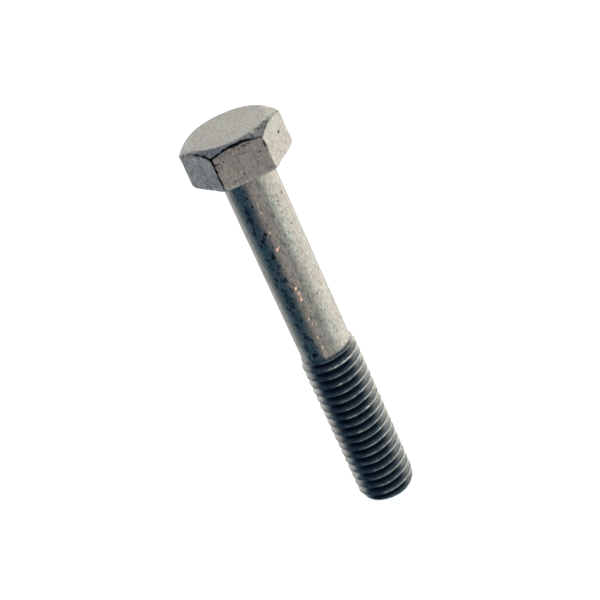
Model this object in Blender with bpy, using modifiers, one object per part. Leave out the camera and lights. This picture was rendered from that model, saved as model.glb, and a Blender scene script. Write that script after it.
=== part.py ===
"""Hex bolt, 3/8-16 UNC by 2 1/2 inch, with a reduced shank and a rolled, right-hand thread.

The whole bolt is one piece of steel: a bar is cut off, its head is forged and trimmed, and its
thread is rolled. So it is one solid here as well, made of a head, a shank, a thread and a point.

Units are metres. The origin is the centre of the bearing face, where the head meets the shank.
+Z runs along the axis to the top of the head, and the shank and thread run down -Z. The hexagon
has a wrench flat facing -Y and another facing +Y.
"""

import math

import bmesh
import bpy
from mathutils import Matrix

INCH = 0.0254

# Driving dimensions of the head
ACROSS_FLATS = INCH * 9 / 16
HEAD_HEIGHT = 0.0066
HEAD_FLAT_DIAMETER = 0.0129  # the round flat that the chamfer leaves on the head's top
HEAD_CHAMFER_ANGLE = math.radians(30)

# Driving dimensions of the shank, the thread and the point
LENGTH = 0.0628  # from the bearing face to the end
SHANK_DIAMETER = 0.00855
FILLET_RADIUS = 0.0004  # between the shank and the bearing face
THREAD_PITCH = INCH / 16
THREAD_DIAMETER = 0.0096  # over the crests
THREAD_START = 0.0335  # from the bearing face to where the shank swells into the thread
SWELL_LENGTH = 0.0015  # over which the shank swells to the thread's diameter
POINT_LENGTH = 0.0013
POINT_DIAMETER = 0.0082

# 60 degree thread: crest flat an eighth of the pitch wide, cut 17/24 of the full V deep
FLANK_ANGLE = math.radians(30)
SHARP_V_HEIGHT = THREAD_PITCH / 2 / math.tan(FLANK_ANGLE)
THREAD_DEPTH = SHARP_V_HEIGHT * 17 / 24
CREST_WIDTH = THREAD_PITCH / 8

# Where the helix lies: depth of the middle of one groove below the bearing face, on the -Y side
GROOVE_DEPTH_AT_FRONT = 0.03455
FRONT_ANGLE = math.radians(-90)
RUNOUT_TURNS = 0.8  # over which the last of the groove rises out of the steel

# Fineness of the facets, and how far a tool reaches past what it cuts
TURN_STEPS = 32
HEAD_STEPS = 96
FILLET_STEPS = 3
SHARP_EDGE_ANGLE = math.radians(25)
CLEAR = 0.001


def clear_scene():
    for scene_object in list(bpy.data.objects):
        bpy.data.objects.remove(scene_object, do_unlink=True)


def new_collection(name):
    collection = bpy.data.collections.new(name)
    bpy.context.scene.collection.children.link(collection)
    return collection


def zinc_coated_steel():
    material = bpy.data.materials.new("zinc_coated_steel")
    material.use_nodes = True
    shader = material.node_tree.nodes["Principled BSDF"]
    shader.inputs["Base Color"].default_value = (0.44, 0.43, 0.40, 1.0)
    shader.inputs["Metallic"].default_value = 0.9
    shader.inputs["Roughness"].default_value = 0.42
    return material


def link_mesh(name, mesh, collection):
    new_object = bpy.data.objects.new(name, mesh)
    collection.objects.link(new_object)
    return new_object


def profile_mesh(name, points, closed=False):
    """A chain of edges in the XZ plane, from (radius, height) points."""
    mesh = bpy.data.meshes.new(name)
    edges = [(i, i + 1) for i in range(len(points) - 1)]
    if closed:
        edges.append((len(points) - 1, 0))
    mesh.from_pydata([(radius, 0, height) for radius, height in points], edges, [])
    return mesh


def turned(name, points, steps, collection):
    """A solid of revolution about Z. Its profile runs down the outer side, from axis to axis."""
    solid = link_mesh(name, profile_mesh(name, points), collection)
    screw = solid.modifiers.new("turn", "SCREW")
    screw.axis = "Z"
    screw.steps = steps
    screw.render_steps = steps
    screw.use_merge_vertices = True
    screw.merge_threshold = 0.000001
    return solid


def boolean(target, operation, tool):
    cut = target.modifiers.new(tool.name, "BOOLEAN")
    cut.operation = operation
    cut.solver = "EXACT"
    cut.object = tool


def apply_modifiers(solid):
    evaluated = solid.evaluated_get(bpy.context.evaluated_depsgraph_get())
    solid.data = bpy.data.meshes.new_from_object(evaluated)
    solid.modifiers.clear()


def hide_tool(tool):
    tool.hide_render = True
    tool.display_type = "WIRE"


def hexagon_blank(collection):
    """The hexagonal prism of the head, taller than the head by the room for its chamfer cut."""
    height = HEAD_HEIGHT + CLEAR
    shape = bmesh.new()
    bmesh.ops.create_cone(
        shape,
        cap_ends=True,
        segments=6,
        radius1=ACROSS_FLATS / math.sqrt(3),
        radius2=ACROSS_FLATS / math.sqrt(3),
        depth=height,
    )
    flats_to_y = Matrix.Rotation(math.radians(30), 3, "Z")
    bmesh.ops.rotate(shape, verts=shape.verts, matrix=flats_to_y)
    bmesh.ops.translate(shape, verts=shape.verts, vec=(0, 0, height / 2))
    mesh = bpy.data.meshes.new("hex_bolt")
    shape.to_mesh(mesh)
    shape.free()
    return link_mesh("hex_bolt", mesh, collection)


def chamfer_tool(collection):
    """The turned shape that the head is trimmed to: a cylinder with a 30 degree cone on top."""
    outer = ACROSS_FLATS
    flat = HEAD_FLAT_DIAMETER / 2
    drop = (outer - flat) * math.tan(HEAD_CHAMFER_ANGLE)
    points = [
        (0, HEAD_HEIGHT),
        (flat, HEAD_HEIGHT),
        (outer, HEAD_HEIGHT - drop),
        (outer, -CLEAR),
        (0, -CLEAR),
    ]
    return turned("head_chamfer", points, HEAD_STEPS, collection)


def fillet_points():
    """The quarter round from the bearing face down to the shank's side."""
    centre = SHANK_DIAMETER / 2 + FILLET_RADIUS
    angles = [math.pi / 2 * (1 + i / FILLET_STEPS) for i in range(FILLET_STEPS + 1)]
    return [
        (centre + FILLET_RADIUS * math.cos(angle), -FILLET_RADIUS + FILLET_RADIUS * math.sin(angle))
        for angle in angles
    ]


def shank_blank(collection):
    """The bar before its thread is cut, from inside the head down to the point."""
    root_top = HEAD_HEIGHT / 2
    neck = fillet_points()
    shank = SHANK_DIAMETER / 2
    crest = THREAD_DIAMETER / 2
    points = [
        (0, root_top),
        (neck[0][0], root_top),
        *neck,
        (shank, -THREAD_START),
        (crest, -THREAD_START - SWELL_LENGTH),
        (crest, -LENGTH + POINT_LENGTH),
        (POINT_DIAMETER / 2, -LENGTH),
        (0, -LENGTH),
    ]
    return turned("shank_blank", points, TURN_STEPS, collection)


def groove_section():
    """The groove's section at +X, centred on height 0, from its flat root out past the crests."""
    crest = THREAD_DIAMETER / 2
    root = crest - THREAD_DEPTH
    mouth = crest + CREST_WIDTH / 4 / math.tan(FLANK_ANGLE)
    half_root = (THREAD_PITCH - CREST_WIDTH) / 2 - THREAD_DEPTH * math.tan(FLANK_ANGLE)
    half_mouth = half_root + (mouth - root) * math.tan(FLANK_ANGLE)
    return [(mouth, half_mouth), (mouth, -half_mouth), (root, -half_root), (root, half_root)]


def groove_turns():
    """Whole turns of the groove cutter, from a turn below the end to past the runout."""
    return math.ceil((LENGTH - GROOVE_DEPTH_AT_FRONT) / THREAD_PITCH) + 3


def groove_tool(collection):
    """The helical cutter. It starts below the bolt's end, and rises out of the steel at the top."""
    section = groove_section()
    turns = groove_turns()
    swept = link_mesh("groove_sweep", profile_mesh("groove_sweep", section, closed=True), collection)
    screw = swept.modifiers.new("helix", "SCREW")
    screw.axis = "Z"
    screw.steps = TURN_STEPS
    screw.render_steps = TURN_STEPS
    screw.iterations = turns
    screw.screw_offset = THREAD_PITCH
    evaluated = swept.evaluated_get(bpy.context.evaluated_depsgraph_get())
    mesh = bpy.data.meshes.new_from_object(evaluated)
    bpy.data.objects.remove(swept, do_unlink=True)
    place_groove(mesh, len(section), turns)
    close_ends(mesh)
    return link_mesh("thread_groove", mesh, collection)


def place_groove(mesh, section_points, turns):
    """Lower the helix into place, and lift its last turns out of the steel for the runout.

    Its facets are turned half a step against the shank's, so that no two edges meet.
    """
    half_step = math.pi / TURN_STEPS
    turns_to_front = (FRONT_ANGLE - half_step) / math.tau + turns - 1
    lowest = -GROOVE_DEPTH_AT_FRONT - turns_to_front * THREAD_PITCH
    mesh.transform(Matrix.Rotation(half_step, 4, "Z"))
    for vertex in mesh.vertices:
        turn = (vertex.index // section_points) / TURN_STEPS
        past_front = turn - turns_to_front
        rise = min(max(past_front / RUNOUT_TURNS, 0), 1)
        radius = math.hypot(vertex.co.x, vertex.co.y)
        stretch = 1 + (THREAD_DEPTH + CLEAR) * rise * rise / radius
        vertex.co.x *= stretch
        vertex.co.y *= stretch
        vertex.co.z += lowest


def close_ends(mesh):
    shape = bmesh.new()
    shape.from_mesh(mesh)
    open_edges = [edge for edge in shape.edges if edge.is_boundary]
    bmesh.ops.holes_fill(shape, edges=open_edges)
    bmesh.ops.recalc_face_normals(shape, faces=shape.faces)
    shape.to_mesh(mesh)
    shape.free()


def build():
    clear_scene()
    parts = new_collection("hex_bolt")
    tools = new_collection("tools")
    bolt = hexagon_blank(parts)
    bolt.data.materials.append(zinc_coated_steel())
    steps = (("INTERSECT", chamfer_tool), ("UNION", shank_blank), ("DIFFERENCE", groove_tool))
    for operation, make_tool in steps:
        tool = make_tool(tools)
        hide_tool(tool)
        boolean(bolt, operation, tool)
    apply_modifiers(bolt)
    bolt.data.shade_smooth()
    bolt.data.set_sharp_from_angle(angle=SHARP_EDGE_ANGLE)


build()
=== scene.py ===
"""Looks for the hex bolt: one fine mesh of the whole forging, its zinc coating, and a light tent.

Everything is in metres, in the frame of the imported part: the origin is the centre of the bearing
face, +Z runs up through the head, the shank hangs down -Z and one wrench flat faces -Y.
An azimuth is measured round +Z from -Y, the front, towards +X, the right.
"""

import math

import bmesh
import bpy
import numpy as np
from mathutils import Matrix, Vector, noise


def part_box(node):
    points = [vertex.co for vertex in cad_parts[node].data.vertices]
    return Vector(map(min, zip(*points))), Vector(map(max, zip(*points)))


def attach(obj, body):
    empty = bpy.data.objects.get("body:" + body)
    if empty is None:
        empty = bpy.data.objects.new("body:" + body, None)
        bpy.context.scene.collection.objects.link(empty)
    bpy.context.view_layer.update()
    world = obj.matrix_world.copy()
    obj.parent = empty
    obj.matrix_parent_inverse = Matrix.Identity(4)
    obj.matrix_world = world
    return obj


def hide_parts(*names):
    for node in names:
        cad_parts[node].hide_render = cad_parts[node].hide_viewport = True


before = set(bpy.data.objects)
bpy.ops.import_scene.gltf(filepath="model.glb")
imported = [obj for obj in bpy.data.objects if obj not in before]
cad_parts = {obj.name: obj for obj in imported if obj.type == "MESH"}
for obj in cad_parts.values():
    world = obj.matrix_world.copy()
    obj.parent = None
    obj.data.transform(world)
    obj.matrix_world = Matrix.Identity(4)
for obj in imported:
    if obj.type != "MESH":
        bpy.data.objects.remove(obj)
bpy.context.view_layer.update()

low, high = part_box("hex_bolt")

MM = 0.001
PI = math.pi

# The head, from the frame's own box
HALF_FLATS = high[1]
HEAD_HEIGHT = high[2]
HEAD_FLAT_RADIUS = 6.45 * MM
HEAD_CHAMFER = math.radians(30)
CORNER_ROUND = 0.30 * MM
TOP_RIM_ROUND = 0.6 * MM
CHAMFER_EDGE_ROUND = 0.26 * MM
BOTTOM_EDGE_ROUND = 0.12 * MM
BOTTOM_CORNER_ROUND = 0.55 * MM

# The shank, the thread and the point
LENGTH = -low[2]
SHANK_RADIUS = 4.275 * MM
FILLET_RADIUS = 0.4 * MM
PITCH = 25.4 * MM / 16
CREST_RADIUS = 4.83 * MM
FLANK = math.radians(30)
THREAD_DEPTH = PITCH / 2 / math.tan(FLANK) * 17 / 24
CREST_HALF_WIDTH = PITCH / 8.5
THREAD_ROUNDING = 0.04 * MM
CREST_AT_FRONT = -35.345 * MM
SWELL_AT_FRONT = -34.05 * MM
SWELL_ABOVE = 0.7 * MM
SWELL_BELOW = 0.8 * MM

# Where the groove fades out, in turns along it: the first full crest passes the front at 0
RUNOUT_START = -0.55
RUNOUT_END = -1.3
POINT_HEIGHT = 1.3 * MM
POINT_RADIUS = 4.10 * MM
POINT_RIM_ROUND = 0.35 * MM

POINT_BLEND = 0.15 * MM  # over which the thread's surface turns into the cone's

# Columns of the mesh go round the axis, crowded towards the hexagon's corners
COLUMNS_PER_SIDE = 38

# Rows of the mesh across each stretch of the head and over the end
TOP_STEPS = 16
TOP_RIM_STEPS = 4
CHAMFER_STEPS = 5
CHAMFER_EDGE_STEPS = 5
SIDE_STEPS = 19
BOTTOM_EDGE_STEPS = 4
BEARING_STEPS = 6
FILLET_STEPS = 5
POINT_STEPS = 9
END_STEPS = 8

WELD_DISTANCE = 0.001 * MM
EDGE_REACH = 0.5 * MM  # how far from the head's edges their wear and painted shade begin
HEAD_MARGIN = 0.05 * MM  # how far below the bearing face a point still belongs to the head
END_MARGIN = 0.1 * MM  # how far above the end the thread's grooves stop

# Wear that the mesh itself carries: how deep the surface is eaten in, and at what size
WAVE_DEPTH, WAVE_SIZE = 0.020 * MM, 3.0 * MM
DIMPLE_DEPTH, DIMPLE_SIZE = 0.018 * MM, 0.9 * MM
EDGE_DEPTH, EDGE_SIZE = 0.090 * MM, 0.8 * MM
CREST_WEAR, CREST_WEAR_SIZE = 0.090 * MM, 0.7 * MM


def column_angles():
    """Angles round the axis from -pi to pi. 0 is the -Y side, and pi / 2 is the +X side."""
    steps = np.arange(-COLUMNS_PER_SIDE, 6 * COLUMNS_PER_SIDE * 2, 2) / (2 * COLUMNS_PER_SIDE)
    side = np.floor(steps + 0.5)
    across = np.sin((steps - side) * PI)
    angles = (side + across / 2) * PI / 3
    angles = np.sort((angles + PI) % (2 * PI) - PI)
    angles = angles[np.concatenate([[True], np.diff(angles) > 1e-6])]
    angles = angles[angles < PI - 1e-6]
    return np.concatenate([angles, [PI + angles[0] + PI]])


def hexagon_radius(angles):
    """Distance from the axis to the hexagon's side, with each upright edge rounded."""
    off = np.abs((angles + PI / 6) % (PI / 3) - PI / 6)
    flat = HALF_FLATS / np.cos(off)
    flat_end = (HALF_FLATS - CORNER_ROUND) * math.tan(PI / 6)
    centre = (HALF_FLATS - CORNER_ROUND) / math.cos(PI / 6)
    from_corner = PI / 6 - off
    inside = np.clip(CORNER_ROUND**2 - (centre * np.sin(from_corner)) ** 2, 0, None)
    rounded = centre * np.cos(from_corner) + np.sqrt(inside)
    return np.where(HALF_FLATS * np.tan(off) > flat_end, rounded, flat)


def round_corner(corner, into, out, radius, steps):
    """Points of the arc that rounds one corner of every column's profile."""
    into, out = np.array(into, float), np.array(out, float)
    turn = math.acos(np.dot(into, out))
    tangent = radius * math.tan(turn / 2)
    side = 1 if into[0] * out[1] - into[1] * out[0] > 0 else -1
    normal = side * np.array([-into[1], into[0]])
    start = corner - tangent * into
    centre = start + radius * normal
    points = []
    for i in range(steps + 1):
        angle = turn * i / steps
        points.append(centre - radius * normal * math.cos(angle) + radius * into * math.sin(angle))
    return points


def straight(first, last, steps):
    """Points between two ends, without the ends themselves."""
    return [first + (last - first) * i / steps for i in range(1, steps)]


def smooth_step(low_end, high_end, x):
    share = np.clip((x - low_end) / (high_end - low_end), 0, 1)
    return share * share * (3 - 2 * share)


def head_rows(angles):
    """The profile's points from the middle of the head's top, over its edges, to the shank."""
    side = hexagon_radius(angles)
    count = len(angles)
    slope = np.array([math.cos(HEAD_CHAMFER), -math.sin(HEAD_CHAMFER)])
    top_rim = np.stack([np.full(count, HEAD_FLAT_RADIUS), np.full(count, HEAD_HEIGHT)], 1)
    edge_height = HEAD_HEIGHT - (side - HEAD_FLAT_RADIUS) * math.tan(HEAD_CHAMFER)
    chamfer_edge = np.stack([side, edge_height], 1)
    bottom_edge = np.stack([side, np.zeros(count)], 1)
    neck = np.stack([np.full(count, SHANK_RADIUS), np.zeros(count)], 1)
    rim = round_corner(top_rim, (1, 0), slope, TOP_RIM_ROUND, TOP_RIM_STEPS)
    edge = round_corner(chamfer_edge, slope, (0, -1), CHAMFER_EDGE_ROUND, CHAMFER_EDGE_STEPS)
    corner_share = smooth_step(0.94, 1.0, side * math.cos(PI / 6) / HALF_FLATS)
    bottom_round = BOTTOM_EDGE_ROUND + (BOTTOM_CORNER_ROUND - BOTTOM_EDGE_ROUND) * corner_share
    bottom = round_corner(bottom_edge, (0, -1), (-1, 0), bottom_round[:, None], BOTTOM_EDGE_STEPS)
    fillet = round_corner(neck, (-1, 0), (0, -1), FILLET_RADIUS, FILLET_STEPS)
    middle = np.stack([np.zeros(count), np.full(count, HEAD_HEIGHT)], 1)
    rows = [middle, *straight(middle, rim[0], TOP_STEPS), *rim]
    rows += [*straight(rim[-1], edge[0], CHAMFER_STEPS), *edge]
    rows += [*straight(edge[-1], bottom[0], SIDE_STEPS), *bottom]
    rows += [*straight(bottom[-1], fillet[0], BEARING_STEPS), *fillet]
    return rows


def smooth_min(a, b, width):
    blend = np.clip(0.5 + 0.5 * (b - a) / width, 0, 1)
    return b + (a - b) * blend - width * blend * (1 - blend)


def swell_radius(angles, heights):
    """The shank's surface, where it swells into the thread along a rim that tilts as the helix does."""
    rim = SWELL_AT_FRONT + PITCH / 4 * np.sin(angles)
    swell = smooth_step(-SWELL_ABOVE, SWELL_BELOW, rim - heights)
    return SHANK_RADIUS + (CREST_RADIUS - SHANK_RADIUS) * swell


def groove_radius(angles, heights):
    """The rolled groove's surface. Its last turn rises out of the steel."""
    turns = (CREST_AT_FRONT + PITCH * angles / (2 * PI) - heights) / PITCH
    off = np.abs((turns + 0.5) % 1 - 0.5) * PITCH
    depth = (off - CREST_HALF_WIDTH) / math.tan(FLANK)
    depth = smooth_min(depth, np.full_like(depth, THREAD_DEPTH), 2 * THREAD_ROUNDING)
    along = np.floor(turns) + 0.5 - angles / (2 * PI)
    lift = 1 - smooth_step(RUNOUT_END, RUNOUT_START, along)
    return CREST_RADIUS - depth + lift * (THREAD_DEPTH + 2 * THREAD_ROUNDING)


def thread_radius(angles, heights):
    """The swelled shank and the groove in it, with a rounded edge between them."""
    return smooth_min(swell_radius(angles, heights), groove_radius(angles, heights), 2 * THREAD_ROUNDING)


def point_radius(heights):
    """The cone and the rounded rim that end the bolt."""
    up = heights + LENGTH
    cone = POINT_RADIUS + (CREST_RADIUS - POINT_RADIUS) * up / POINT_HEIGHT
    inside = POINT_RIM_ROUND**2 - (POINT_RIM_ROUND - np.clip(up, 0, POINT_RIM_ROUND)) ** 2
    return cone - POINT_RIM_ROUND + np.sqrt(inside)


def stem_radius(angles, heights):
    return smooth_min(thread_radius(angles, heights), point_radius(heights), POINT_BLEND)


# Rows across one pitch, as parts of the pitch from a groove's middle to the next
PITCH_ROWS = np.array([0, 0.05, 0.11, 0.24, 0.35, 0.38, 0.41, 0.5, 0.59, 0.62, 0.65, 0.76, 0.89, 0.95, 1.0])
THREAD_TURNS = 17
SHANK_ROWS = 74


def stem_rows(angles):
    """Rows from the shank to the end. Below the shank they lie along the thread's helix."""
    round_angle = angles + PI
    low_row = CREST_AT_FRONT - THREAD_TURNS * PITCH
    top_row = low_row + THREAD_TURNS * PITCH + PITCH
    shank_top = -FILLET_RADIUS
    shank_end = top_row + PITCH
    levels = [(shank_top + (shank_end - shank_top) * i / SHANK_ROWS, 0) for i in range(1, SHANK_ROWS)]
    for part in PITCH_ROWS[::-1]:
        levels.append((top_row + part * PITCH, (1 - part) * PITCH))
    for turn in range(THREAD_TURNS, -1, -1):
        for part in PITCH_ROWS[-2::-1]:
            levels.append((low_row + (turn + part) * PITCH, PITCH))
    for part in PITCH_ROWS[-2::-1]:
        levels.append((low_row, part * PITCH))
    rows = []
    for height, lift in levels:
        z = height + lift * round_angle / (2 * PI)
        rows.append(np.stack([stem_radius(angles, z), z], 1))
    for i in range(1, POINT_STEPS + 1):
        drop = math.sin(i / POINT_STEPS * PI / 2)
        z = np.full(len(angles), low_row + (-LENGTH - low_row) * drop)
        rows.append(np.stack([stem_radius(angles, z), z], 1))
    end = rows[-1]
    centre = np.stack([np.zeros(len(angles)), np.full(len(angles), -LENGTH)], 1)
    rows += [*straight(end, centre, END_STEPS), centre]
    return rows


def lattice(angles, rows):
    """Vertices and faces of the rows, a column for each angle. Row 0 is the top."""
    rows = np.array(rows)
    radius, z = rows[:, :, 0], rows[:, :, 1]
    x = radius * np.sin(angles)
    y = -radius * np.cos(angles)
    vertices = np.stack([x, y, z], 2).reshape(-1, 3)
    row_count, column_count = radius.shape
    corner = np.arange((row_count - 1) * column_count).reshape(row_count - 1, column_count)[:, :-1].ravel()
    faces = np.stack([corner, corner + column_count, corner + column_count + 1, corner + 1], 1)
    return vertices, faces


def bolt_mesh():
    """The closed surface of the whole bolt. Rows that meet at the axis or the seam are welded."""
    angles = column_angles()
    vertices, faces = lattice(angles, head_rows(angles) + stem_rows(angles))
    mesh = bpy.data.meshes.new("bolt_surface")
    mesh.from_pydata(vertices.tolist(), [], faces.tolist())
    shape = bmesh.new()
    shape.from_mesh(mesh)
    bmesh.ops.remove_doubles(shape, verts=shape.verts, dist=WELD_DISTANCE)
    shape.to_mesh(mesh)
    shape.free()
    return mesh


def read_points(mesh, what):
    values = np.empty(len(mesh.vertices) * 3)
    mesh.vertices.foreach_get(what, values)
    return values.reshape(-1, 3)


def fine_noise(points, size, seed):
    """Smooth noise from 0 to 1 over the points, with lumps of one size."""
    shift = Vector((seed * 7.31, seed * 3.17, seed * 5.53))
    values = [noise.noise(Vector(point) / size + shift) for point in points]
    return np.clip(0.5 + 0.7 * np.array(values), 0, 1)


def groove_depth(points):
    """How deep a point lies in the thread: 0 on a crest or the shank, 1 at a root."""
    angles = np.arctan2(points[:, 0], -points[:, 1])
    radius = np.hypot(points[:, 0], points[:, 1])
    envelope = np.minimum(swell_radius(angles, points[:, 2]), point_radius(points[:, 2]))
    depth = np.clip((envelope - radius) / THREAD_DEPTH, 0, 1)
    return np.where(points[:, 2] < SWELL_AT_FRONT + PITCH, depth, 0) * (points[:, 2] > END_MARGIN - LENGTH)


def edge_nearness(points):
    """1 on the head's edges, falling to 0 a little way off them."""
    angles = np.arctan2(points[:, 0], -points[:, 1])
    off = np.abs((angles + PI / 6) % (PI / 3) - PI / 6)
    radius = np.hypot(points[:, 0], points[:, 1])
    to_side = np.abs(radius * np.cos(off) - HALF_FLATS)
    to_corner = np.abs(radius * np.sin(off) - HALF_FLATS * math.tan(PI / 6))
    chamfer = HEAD_HEIGHT - (radius - HEAD_FLAT_RADIUS) * math.tan(HEAD_CHAMFER)
    to_chamfer = np.abs(points[:, 2] - chamfer)
    to_bottom = np.abs(points[:, 2])
    upright = np.hypot(to_side, to_corner)
    upper = np.hypot(to_side, to_chamfer)
    lower = np.hypot(to_side, to_bottom)
    nearest = np.minimum(np.minimum(upright, upper), lower)
    return np.clip(1 - nearest / EDGE_REACH, 0, 1) * (points[:, 2] > -HEAD_MARGIN)


def weather(mesh):
    """Eats the surface in a little everywhere, and more along the head's edges and the crests."""
    points = read_points(mesh, "co")
    normals = read_points(mesh, "normal")
    edge = edge_nearness(points)
    groove = groove_depth(points)
    crest = (1 - groove) * (points[:, 2] < SWELL_AT_FRONT)
    depth = WAVE_DEPTH * fine_noise(points, WAVE_SIZE, 1)
    depth += DIMPLE_DEPTH * fine_noise(points, DIMPLE_SIZE, 2) ** 2
    depth += EDGE_DEPTH * edge * fine_noise(points, EDGE_SIZE, 3) ** 3
    depth += CREST_WEAR * crest**3 * fine_noise(points, CREST_WEAR_SIZE, 4) ** 3
    moved = points - normals * depth[:, None]
    mesh.vertices.foreach_set("co", moved.ravel())
    for name, values in (("edge", edge), ("groove", groove)):
        layer = mesh.attributes.new(name, "FLOAT", "POINT")
        layer.data.foreach_set("value", values)
    mesh.update()


def make_bolt():
    mesh = bolt_mesh()
    weather(mesh)
    mesh.shade_smooth()
    bolt = bpy.data.objects.new("bolt_surface", mesh)
    bpy.context.scene.collection.objects.link(bolt)
    return bolt


def node(tree, kind, inputs=None, **settings):
    """A shader node with its settings made, and each input given a value or a link."""
    new = tree.nodes.new(kind)
    for name, value in settings.items():
        setattr(new, name, value)
    for name, value in (inputs or {}).items():
        if isinstance(value, bpy.types.NodeSocket):
            tree.links.new(value, new.inputs[name])
        else:
            new.inputs[name].default_value = value
    return new


def combine(tree, operation, a, b=0.0):
    return node(tree, "ShaderNodeMath", {0: a, 1: b}, operation=operation).outputs[0]


def ramp(tree, value, start, end, first=0.0, last=1.0):
    """A smooth step of a value, from first at start to last at end."""
    inputs = {"Value": value, 1: start, 2: end, 3: first, 4: last}
    return node(tree, "ShaderNodeMapRange", inputs, interpolation_type="SMOOTHSTEP").outputs[0]


def blend(tree, factor, a, b, how="MIX"):
    """Colour b over colour a."""
    inputs = {"Factor": factor, 6: a, 7: b}
    return node(tree, "ShaderNodeMix", inputs, data_type="RGBA", blend_type=how).outputs[2]


def grain(tree, place, size, seed, stretch=(1, 1, 1), detail=2.0):
    """Noise with lumps of one size. A stretch below 1 draws the lumps out along that axis."""
    scale = [part / size for part in stretch]
    shift = (seed * 3.7, seed * 1.9, seed * 2.3)
    spot = node(tree, "ShaderNodeVectorMath", {0: place, 1: scale, 2: shift}, operation="MULTIPLY_ADD")
    return node(tree, "ShaderNodeTexNoise", {"Vector": spot.outputs[0], "Scale": 1.0, "Detail": detail})


def clouds_of(tree, place):
    return grain(tree, place, 2.4 * MM, 1, detail=4).outputs[0]


def speckle_of(tree, place):
    return grain(tree, place, 0.17 * MM, 2).outputs[0]


def lumps_of(tree, place):
    return grain(tree, place, 0.42 * MM, 3, stretch=(1, 1, 0.6), detail=3).outputs[0]


def drawn_lines_of(tree, place):
    return grain(tree, place, 0.14 * MM, 4, stretch=(1, 1, 0.05)).outputs[0]


def attribute(tree, name):
    return node(tree, "ShaderNodeAttribute", attribute_name=name).outputs["Fac"]


def on_bolt(azimuth, height):
    """The point of the bolt's side at an azimuth in degrees and a height in millimetres."""
    angle = math.radians(azimuth)
    cone = HEAD_FLAT_RADIUS + (HEAD_HEIGHT - height * MM) / math.tan(HEAD_CHAMFER)
    if height > 0:
        radius = min(float(hexagon_radius(np.array(angle))), cone)
    else:
        radius = CREST_RADIUS if height * MM < SWELL_AT_FRONT else SHANK_RADIUS
    return (radius * math.sin(angle), -radius * math.cos(angle), height * MM)


def spot_mask(tree, place, spots):
    """1 inside any of the spots, each an azimuth, a height, half its width and height, and a tilt."""
    mask = 0.0
    for azimuth, height, half_width, half_height, tilt in spots:
        inputs = {
            "Vector": place,
            "Location": on_bolt(azimuth, height),
            "Rotation": (0, math.radians(tilt), math.radians(azimuth)),
            "Scale": (half_width * MM, MM, half_height * MM),
        }
        inside = node(tree, "ShaderNodeMapping", inputs, vector_type="TEXTURE")
        length = node(tree, "ShaderNodeVectorMath", {0: inside.outputs[0]}, operation="LENGTH")
        mask = combine(tree, "MAXIMUM", mask, ramp(tree, length.outputs["Value"], 1.15, 0.65))
    return mask


# Colours of the zinc and its stains, of the painted shade on the head's edges, the shank and the thread,
# and of the painted highlights
PALE_ZINC = (0.57, 0.58, 0.555, 1)
WARM_ZINC = (0.63, 0.605, 0.56, 1)
# Painted shade in the dark band left of the shank's front
BAND_SHADE_COLOUR = (0.07, 0.115, 0.145, 1)
FLECK_COLOUR = (0.20, 0.26, 0.245, 1)
MOTTLE_DARK = (0.76, 0.77, 0.86, 1)
MOTTLE_PALE = (1.19, 1.16, 1.19, 1)
PIT_COLOUR = (0.02, 0.04, 0.06, 1)
SMEAR_COLOUR = (0.10, 0.10, 0.11, 1)
# Painted shade along the head's front edges
EDGE_SHADE_COLOUR = (0.03, 0.035, 0.04, 1)
GLINT_COLOUR = (1.0, 0.82, 0.66, 1)
# Painted highlights
HIGHLIGHT_COLOUR = (1.0, 1.0, 0.98, 1)
# Painted light and shade on the thread: pale flanks away from the front, dark flanks at the front, both
# darker towards the roots
PALE_FLANK = (0.84, 0.81, 0.77, 1)
PALE_ROOT = (0.72, 0.71, 0.70, 1)
SHADED_FLANK = (0.165, 0.215, 0.265, 1)
SHADED_ROOT = (0.08, 0.115, 0.16, 1)
CREST_TINT = (0.90, 0.98, 1.03, 1)
# Painted shade on the thread's crests at the front
CREST_SHADE_COLOUR = (0.20, 0.24, 0.27, 1)

# How far the outlines of the marks and of the glints are shaken about
MARK_SHAKE = 0.4 * MM
GLINT_SHAKE = 0.15 * MM

# Marks that stand out: azimuth (degrees), height, half width, half height (mm) and tilt (degrees).
# Most azimuths and heights were worked out from the photo by a scratch script and then rounded.
# The other places, and all the sizes and tilts, were set one by one
BLACK_SPOTS = (
    (68, 3.5, 0.34, 0.32, 0),
    (10, 5.5, 0.14, 0.15, 0),
    (22, 3.6, 0.15, 0.18, 0),
    (-28, 4.5, 0.16, 0.14, 0),
    (-16, 1.0, 0.13, 0.15, 0),
    (-78, 3.1, 0.15, 0.15, 0),
    # The tall spot at the right front corner is painted shade, like the line along the head's front edges
    (29, 4.5, 0.17, 0.65, 0),
    (22, 6.1, 0.18, 0.10, 20),
    (36, 6.3, 0.18, 0.12, 0),
    (50, 6.4, 0.20, 0.10, 0),
    (-21, -5, 0.22, 0.26, 0),
    (-40, -7, 0.24, 0.34, 20),
    (-20, -10, 0.40, 0.30, 30),
    (-31, -11, 0.35, 0.30, 0),
    (-24, -14, 0.38, 0.55, 0),
    (-40, -18, 0.30, 0.45, -20),
    (-35, -21, 0.26, 0.30, 0),
    (-34, -29, 0.30, 0.40, 20),
    (-32, -32.5, 0.55, 0.45, 0),
    (55, -19, 0.11, 0.42, -8),
    (44, -10.5, 0.16, 0.18, 0),
    (55, -5.5, 0.16, 0.30, 40),
)
GREY_SMEARS = (
    (-3, 4.7, 1.2, 0.20, 6),
    (5, 4.6, 1.4, 0.26, 6),
    (0, 5.5, 2.8, 0.35, 0),
    (-6, 1.3, 0.60, 0.28, -30),
    (25, 0.8, 0.60, 0.28, 10),
    (-27, 4.0, 0.60, 0.80, 20),
    (45, 6.2, 0.90, 0.32, 0),
    (56, 6.3, 0.60, 0.26, 0),
    (12, 6.2, 2.6, 0.30, 0),
    (26, -13, 0.30, 0.22, 30),
    (10, -13, 0.34, 0.20, 0),
)
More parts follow.
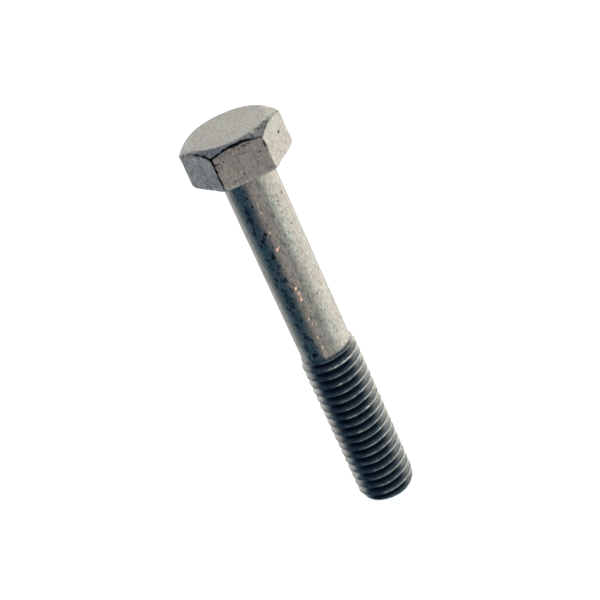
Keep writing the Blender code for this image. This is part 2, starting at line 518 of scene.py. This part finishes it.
# Painted highlights: white spots on the head's edges, the shank and the first crests, some of them on
# bright nicks
HIGHLIGHT_SPOTS = (
    (27, 6.4, 0.34, 0.16, 10),
    (57, 6.5, 0.20, 0.10, 0),
    (-62, 5.3, 0.42, 0.18, 20),
    (53, -19, 0.10, 0.35, -8),
    (34, -22, 0.18, 0.10, 0),
    (0, -35.3, 0.60, 0.12, 0),
    (19, -35.2, 0.50, 0.12, 0),
    (32, -35.2, 0.50, 0.12, 0),
    (-5, -38.5, 0.30, 0.14, 0),
    (24, -44.7, 0.40, 0.14, 0),
)
GLINTS = (
    (-8, -6.4, 0.10, 0.26, 20),
    (-7, -5, 0.08, 0.20, 10),
    (-9, -10, 0.08, 0.22, 30),
    (-8, -13, 0.14, 0.60, 50),
    (-12, -13, 0.07, 0.28, 40),
    (-7, -20.2, 0.16, 0.44, 40),
    (-5, -21.2, 0.20, 0.38, 10),
    (-6, -22.2, 0.14, 0.52, 15),
    (-10, -26, 0.06, 0.30, 20),
    (-7, -27, 0.05, 0.24, 10),
    (-9, -29.5, 0.06, 0.28, 30),
    (-8, -31.5, 0.06, 0.28, 10),
)


def aim(azimuth, elevation):
    """The unit vector from the axis towards an azimuth and an elevation in degrees."""
    turn, rise = math.radians(azimuth), math.radians(elevation)
    return (math.sin(turn) * math.cos(rise), -math.cos(turn) * math.cos(rise), math.sin(rise))


def toward(tree, way, azimuth, elevation):
    """The cosine of the angle between a direction and an azimuth and elevation."""
    inputs = {0: way, 1: aim(azimuth, elevation)}
    return node(tree, "ShaderNodeVectorMath", inputs, operation="DOT_PRODUCT").outputs["Value"]


def facing(tree, place, azimuth, outer, inner):
    """1 within inner degrees round the bolt from an azimuth, falling to 0 at outer degrees."""
    flat = node(tree, "ShaderNodeVectorMath", {0: place, 1: (1, 1, 0)}, operation="MULTIPLY")
    way = node(tree, "ShaderNodeVectorMath", {0: flat.outputs[0]}, operation="NORMALIZE")
    near = toward(tree, way.outputs[0], azimuth, 0)
    return ramp(tree, near, math.cos(math.radians(outer)), math.cos(math.radians(inner)))


def above(tree, place, start, end):
    """0 below one height and 1 above another."""
    height = node(tree, "ShaderNodeSeparateXYZ", {0: place}).outputs[2]
    return ramp(tree, height, start, end)


def shaken(tree, place, amount):
    """Places moved about a little, so that marks get ragged outlines."""
    wobble = grain(tree, place, 0.22 * MM, 8).outputs[1]
    wobble = node(tree, "ShaderNodeVectorMath", {0: wobble, 1: (0.5, 0.5, 0.5)}, operation="SUBTRACT")
    inputs = {0: wobble.outputs[0], 1: (amount, amount, amount), 2: place}
    return node(tree, "ShaderNodeVectorMath", inputs, operation="MULTIPLY_ADD").outputs[0]


def clean_tone(tree, place, on_shank, speckle, lumps):
    """Pale grey zinc, cloudy and speckled, with fine lengthwise lines on the shank."""
    clouds = clouds_of(tree, place)
    colour = blend(tree, ramp(tree, clouds, 0.35, 0.65), PALE_ZINC, WARM_ZINC)
    drawn = drawn_lines_of(tree, place)
    line_depth = ramp(tree, on_shank, 0, 1, 0.85, 0.7)
    lines = combine(tree, "MULTIPLY", ramp(tree, drawn, 0.3, 0.7, -0.14, 0.08), line_depth)
    speckled = ramp(tree, speckle, 0.3, 0.7, 0.78, 1.18)
    tone = combine(tree, "MULTIPLY", speckled, combine(tree, "ADD", lines, 1.0))
    tone = combine(tree, "MULTIPLY", tone, ramp(tree, lumps, 0.3, 0.7, 0.82, 1.12))
    return blend(tree, 1.0, colour, tone, "MULTIPLY")


def shank_flecks_and_band_shade(tree, place, on_shank, colour):
    """Dark bluish blotches left of the front, painted shade that deepens the dark band there, and soft grey
    flecks at the front and right.
    """
    blots = grain(tree, place, 0.60 * MM, 7, stretch=(1, 1, 0.6), detail=4).outputs[0]
    # Painted shade: the blotches only in the band left of the front
    shade_band = combine(tree, "MULTIPLY", facing(tree, place, -34, 26, 8), on_shank)
    limit = combine(tree, "SUBTRACT", 0.72, combine(tree, "MULTIPLY", shade_band, 0.235))
    band_shade = ramp(tree, combine(tree, "SUBTRACT", blots, limit), 0.0, 0.13)
    colour = blend(tree, combine(tree, "MULTIPLY", band_shade, 0.88), colour, BAND_SHADE_COLOUR)
    flecks = grain(tree, place, 0.36 * MM, 9, stretch=(1, 1, 0.45), detail=3).outputs[0]
    flecked = combine(tree, "MULTIPLY", facing(tree, place, 14, 38, 12), on_shank)
    limit = combine(tree, "SUBTRACT", 0.70, combine(tree, "MULTIPLY", flecked, 0.165))
    fleck = ramp(tree, combine(tree, "SUBTRACT", flecks, limit), 0.0, 0.10)
    return blend(tree, combine(tree, "MULTIPLY", fleck, 0.7), colour, FLECK_COLOUR)


def head_stains(tree, place, on_shank, colour):
    """Soft bluish mottling on the head's left facet."""
    mottles = grain(tree, place, 0.7 * MM, 13, detail=4).outputs[0]
    tint = blend(tree, ramp(tree, mottles, 0.38, 0.62), MOTTLE_DARK, MOTTLE_PALE)
    on_side = combine(tree, "SUBTRACT", above(tree, place, 6.5 * MM, 6.2 * MM), on_shank)
    where = combine(tree, "MULTIPLY", facing(tree, place, -62, 42, 26), on_side)
    return blend(tree, where, colour, tint, "MULTIPLY")


def pit_mask(tree, place, ragged, on_shank):
    """Scattered pits, more of them in some patches and along edges, and the pits that stand out."""
    patches = grain(tree, place, 1.6 * MM, 6).outputs[0]
    limit = ramp(tree, patches, 0.35, 0.7, 0.78, 0.66)
    limit = combine(tree, "SUBTRACT", limit, combine(tree, "MULTIPLY", on_shank, 0.01))
    limit = combine(tree, "SUBTRACT", limit, combine(tree, "MULTIPLY", attribute(tree, "edge"), 0.11))
    holes = grain(tree, place, 0.24 * MM, 5, stretch=(1, 1, 0.7), detail=1).outputs[0]
    pits = ramp(tree, combine(tree, "SUBTRACT", holes, limit), 0.0, 0.03)
    return combine(tree, "MAXIMUM", pits, spot_mask(tree, ragged, BLACK_SPOTS))


def front_edge_shade(tree, place, lumps):
    """Painted shade: a black line along the head's edges, only on the front and thickest there."""
    breaks = grain(tree, place, 1.1 * MM, 10).outputs[0]
    front = facing(tree, place, -17, 52, 17)
    near = combine(tree, "ADD", attribute(tree, "edge"), ramp(tree, lumps, 0.3, 0.7, -0.08, 0.08))
    near = combine(tree, "ADD", near, ramp(tree, breaks, 0.35, 0.65, -0.26, 0.16))
    near = combine(tree, "ADD", near, combine(tree, "MULTIPLY", front, 0.27))
    edge_shade = combine(tree, "MULTIPLY", ramp(tree, near, 0.67, 0.87), combine(tree, "SQRT", front))
    return combine(tree, "MULTIPLY", edge_shade, above(tree, place, 0.5 * MM, 1.5 * MM))


def painted_thread_shade(tree, place, speckle, lumps, colour):
    """Painted light and shade on the thread's sides: darkest at the front, a little darker on the left and
    towards the roots, and paler than the zinc elsewhere; painted shade on the crests at the front.
    """
    groove = attribute(tree, "groove")
    left = combine(tree, "MULTIPLY", facing(tree, place, -70, 32, 14), 0.2)
    # Painted shade: darkest at the front and a little darker on the left
    shaded_side = combine(tree, "MAXIMUM", facing(tree, place, -8, 71, 34), left)
    # Painted shade towards the thread's roots
    root = ramp(tree, groove, 0.3, 0.8)
    pale_thread_tone = blend(tree, root, PALE_FLANK, PALE_ROOT)
    shaded_thread_tone = blend(tree, root, SHADED_FLANK, SHADED_ROOT)
    thread_shade_tone = blend(tree, shaded_side, pale_thread_tone, shaded_thread_tone)
    thread_shade_tone = blend(tree, 1.0, thread_shade_tone, ramp(tree, speckle, 0.3, 0.7, 0.75, 1.2), "MULTIPLY")
    blots = grain(tree, place, 0.9 * MM, 11, detail=4).outputs[0]
    on_thread = above(tree, place, SWELL_AT_FRONT, SWELL_AT_FRONT - 2 * MM)
    colour = blend(tree, on_thread, colour, CREST_TINT, "MULTIPLY")
    # Painted shade on the crests at the front
    crest_shade = facing(tree, place, -17, 62, 20)
    crest_shade = combine(tree, "MULTIPLY", crest_shade, on_thread)
    crest_shade = combine(tree, "MULTIPLY", crest_shade, ramp(tree, blots, 0.38, 0.58, 0.25, 0.95))
    colour = blend(tree, crest_shade, colour, CREST_SHADE_COLOUR)
    edge_of_crest = ramp(tree, lumps, 0.3, 0.7, -0.07, 0.07)
    edge_of_crest = combine(tree, "ADD", edge_of_crest, ramp(tree, blots, 0.3, 0.7, -0.03, 0.05))
    flank = ramp(tree, combine(tree, "ADD", groove, edge_of_crest), 0.06, 0.17)
    return blend(tree, flank, colour, thread_shade_tone)


def zinc_relief(tree, place, on_shank):
    """The fine relief, in millimetres, as a bump."""
    relief = combine(tree, "MULTIPLY", lumps_of(tree, place), 0.014)
    speckle = speckle_of(tree, place)
    relief = combine(tree, "ADD", relief, combine(tree, "MULTIPLY", speckle, 0.005))
    drawn = drawn_lines_of(tree, place)
    drawn = combine(tree, "MULTIPLY", combine(tree, "MULTIPLY", drawn, on_shank), 0.006)
    relief = combine(tree, "ADD", relief, drawn)
    pits = pit_mask(tree, place, shaken(tree, place, MARK_SHAKE), on_shank)
    relief = combine(tree, "SUBTRACT", relief, combine(tree, "MULTIPLY", pits, 0.03))
    return node(tree, "ShaderNodeBump", {"Height": relief, "Distance": MM, "Strength": 1.0}).outputs[0]


def zinc_coating():
    """Dull zinc: cloudy and speckled, pitted, drawn lengthwise on the shank, with painted shade in the
    thread and painted highlights.
    """
    material = bpy.data.materials.new("zinc_coating")
    material.use_nodes = True
    tree = material.node_tree
    shader = tree.nodes["Principled BSDF"]
    shader.inputs["Metallic"].default_value = 1
    place = node(tree, "ShaderNodeTexCoord").outputs["Object"]
    on_shank = above(tree, place, 0.2 * MM, -0.4 * MM)
    tree.links.new(zinc_relief(tree, place, on_shank), shader.inputs["Normal"])

    ragged = shaken(tree, place, MARK_SHAKE)
    speckle = speckle_of(tree, place)
    lumps = lumps_of(tree, place)
    colour = clean_tone(tree, place, on_shank, speckle, lumps)
    colour = shank_flecks_and_band_shade(tree, place, on_shank, colour)
    colour = head_stains(tree, place, on_shank, colour)
    pits = pit_mask(tree, place, ragged, on_shank)
    colour = blend(tree, combine(tree, "MULTIPLY", pits, 0.9), colour, PIT_COLOUR)
    dashes = grain(tree, place, 0.15 * MM, 12, stretch=(0.3, 1, 1)).outputs[0]
    smears = combine(tree, "MULTIPLY", spot_mask(tree, ragged, GREY_SMEARS), ramp(tree, dashes, 0.46, 0.62))
    colour = blend(tree, combine(tree, "MULTIPLY", smears, 0.85), colour, SMEAR_COLOUR)
    # Painted shade along the head's front edges
    edge_shade = front_edge_shade(tree, place, lumps)
    colour = blend(tree, edge_shade, colour, EDGE_SHADE_COLOUR)
    glints = spot_mask(tree, shaken(tree, place, GLINT_SHAKE), GLINTS)
    colour = blend(tree, glints, colour, GLINT_COLOUR)
    # Painted light and shade on the thread
    colour = painted_thread_shade(tree, place, speckle, lumps, colour)
    # Painted highlights on the head, shank and crests
    colour = blend(tree, spot_mask(tree, ragged, HIGHLIGHT_SPOTS), colour, HIGHLIGHT_COLOUR)
    tree.links.new(colour, shader.inputs["Base Color"])

    rough = ramp(tree, clouds_of(tree, place), 0.3, 0.7, 0.31, 0.41)
    rough = combine(tree, "ADD", rough, ramp(tree, speckle, 0.3, 0.7, -0.04, 0.05))
    rough = combine(tree, "MAXIMUM", rough, combine(tree, "MULTIPLY", edge_shade, 0.7))
    rough = combine(tree, "ADD", rough, combine(tree, "MULTIPLY", attribute(tree, "groove"), 0.14))
    smooth = combine(tree, "SUBTRACT", 1.0, combine(tree, "MULTIPLY", glints, 0.68))
    tree.links.new(combine(tree, "MULTIPLY", rough, smooth), shader.inputs["Roughness"])
    return material


# The tent's soft panels: azimuth and elevation of the middle, and the colour there.
# A scratch program fitted them to the photo by least squares. They were then scaled together, some
# were changed by hand, and the panels at (165, -30) and (-90, 72) were added by hand
PANEL_REACH = 36
TENT = (
    (0, -25, (0.42, 0.31, 0.26)),
    (0, -60, (0.44, 0.53, 0.44)),
    (60, -25, (0.99, 0.95, 0.82)),
    (90, -25, (0.43, 0.35, 0.28)),
    (120, -25, (1.11, 1.04, 0.91)),
    (165, -30, (0.60, 0.56, 0.46)),
    (150, 10, (1.01, 0.95, 0.82)),
    (90, 70, (0.38, 0.37, 0.33)),
    (-90, 72, (0.13, 0.10, 0.13)),
    (180, 40, (0.64, 0.58, 0.52)),
    (-150, 10, (0.72, 0.67, 0.60)),
    (-150, -25, (0.58, 0.51, 0.45)),
    (-120, -25, (0.15, 0.16, 0.15)),
)
TENT_DARK = (0.026, 0.072, 0.114)

# A small warm lamp low at the front. Only the shiny glints mirror it clearly
LAMP = (-16, -27)
LAMP_REACH = 4.5
LAMP_COLOUR = (2.0, 1.10, 0.75)


def make_world():
    """A white surround for the camera, and for the metal a dark tent with soft pale panels."""
    world = bpy.data.worlds.new("light_tent")
    bpy.context.scene.world = world
    world.use_nodes = True
    tree = world.node_tree
    tree.nodes.clear()
    way = node(tree, "ShaderNodeTexCoord").outputs["Generated"]
    total = (*TENT_DARK, 1)
    for azimuth, elevation, colour in TENT:
        near = toward(tree, way, azimuth, elevation)
        amount = ramp(tree, near, math.cos(math.radians(PANEL_REACH)), 1.0)
        total = blend(tree, amount, total, (*colour, 1), "ADD")
    amount = ramp(tree, toward(tree, way, *LAMP), math.cos(math.radians(LAMP_REACH)), 1.0)
    total = blend(tree, amount, total, (*LAMP_COLOUR, 1), "ADD")
    tent = node(tree, "ShaderNodeBackground", {"Color": total})
    white = node(tree, "ShaderNodeBackground", {"Color": (1, 1, 1, 1)})
    seen = node(tree, "ShaderNodeLightPath").outputs["Is Camera Ray"]
    pick = node(tree, "ShaderNodeMixShader", {0: seen, 1: tent.outputs[0], 2: white.outputs[0]})
    node(tree, "ShaderNodeOutputWorld", {"Surface": pick.outputs[0]})


# The camera was fitted to the bolt's outline and crests in the photo by a scratch program
CAMERA_TARGET = Vector((-0.67 * MM, 0, -24.44 * MM))
CAMERA_AZIMUTH = -0.741
CAMERA_ELEVATION = 26.641
CAMERA_ROLL = -24.539
CAMERA_DISTANCE = 243.8 * MM
CAMERA_LENS = 93.45


def make_camera():
    camera = bpy.data.objects.new("camera", bpy.data.cameras.new("camera"))
    bpy.context.scene.collection.objects.link(camera)
    back = Vector(aim(CAMERA_AZIMUTH, CAMERA_ELEVATION))
    camera.location = CAMERA_TARGET + back * CAMERA_DISTANCE
    level = back.to_track_quat("Z", "Y").to_matrix().to_4x4()
    camera.rotation_euler = (level @ Matrix.Rotation(math.radians(CAMERA_ROLL), 4, "Z")).to_euler()
    camera.data.lens = CAMERA_LENS
    camera.data.clip_start = 10 * MM
    bpy.context.scene.camera = camera


FLOOR_HALF_WIDTH = 1.2
FLOOR_COLOUR = (0.9, 0.9, 0.9, 1)
FLOOR_GLOW = 0.9


def make_floor():
    """A pale floor under the bolt's point. The metal mirrors only the tent."""
    half = FLOOR_HALF_WIDTH
    corners = [(-half, -half, 0), (half, -half, 0), (half, half, 0), (-half, half, 0)]
    mesh = bpy.data.meshes.new("floor")
    mesh.from_pydata(corners, [], [(0, 1, 2, 3)])
    floor = bpy.data.objects.new("floor", mesh)
    floor.location.z = -LENGTH
    bpy.context.scene.collection.objects.link(floor)
    material = bpy.data.materials.new("floor")
    material.use_nodes = True
    shader = material.node_tree.nodes["Principled BSDF"]
    shader.inputs["Base Color"].default_value = FLOOR_COLOUR
    shader.inputs["Roughness"].default_value = 1
    shader.inputs["Emission Color"].default_value = (1, 1, 1, 1)
    shader.inputs["Emission Strength"].default_value = FLOOR_GLOW
    mesh.materials.append(material)
    floor.visible_glossy = False
    floor.visible_diffuse = False


bolt = make_bolt()
bolt.data.materials.append(zinc_coating())
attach(bolt, "root")
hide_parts("hex_bolt")
make_world()
make_camera()
make_floor()
bpy.context.scene.view_settings.view_transform = "Standard"
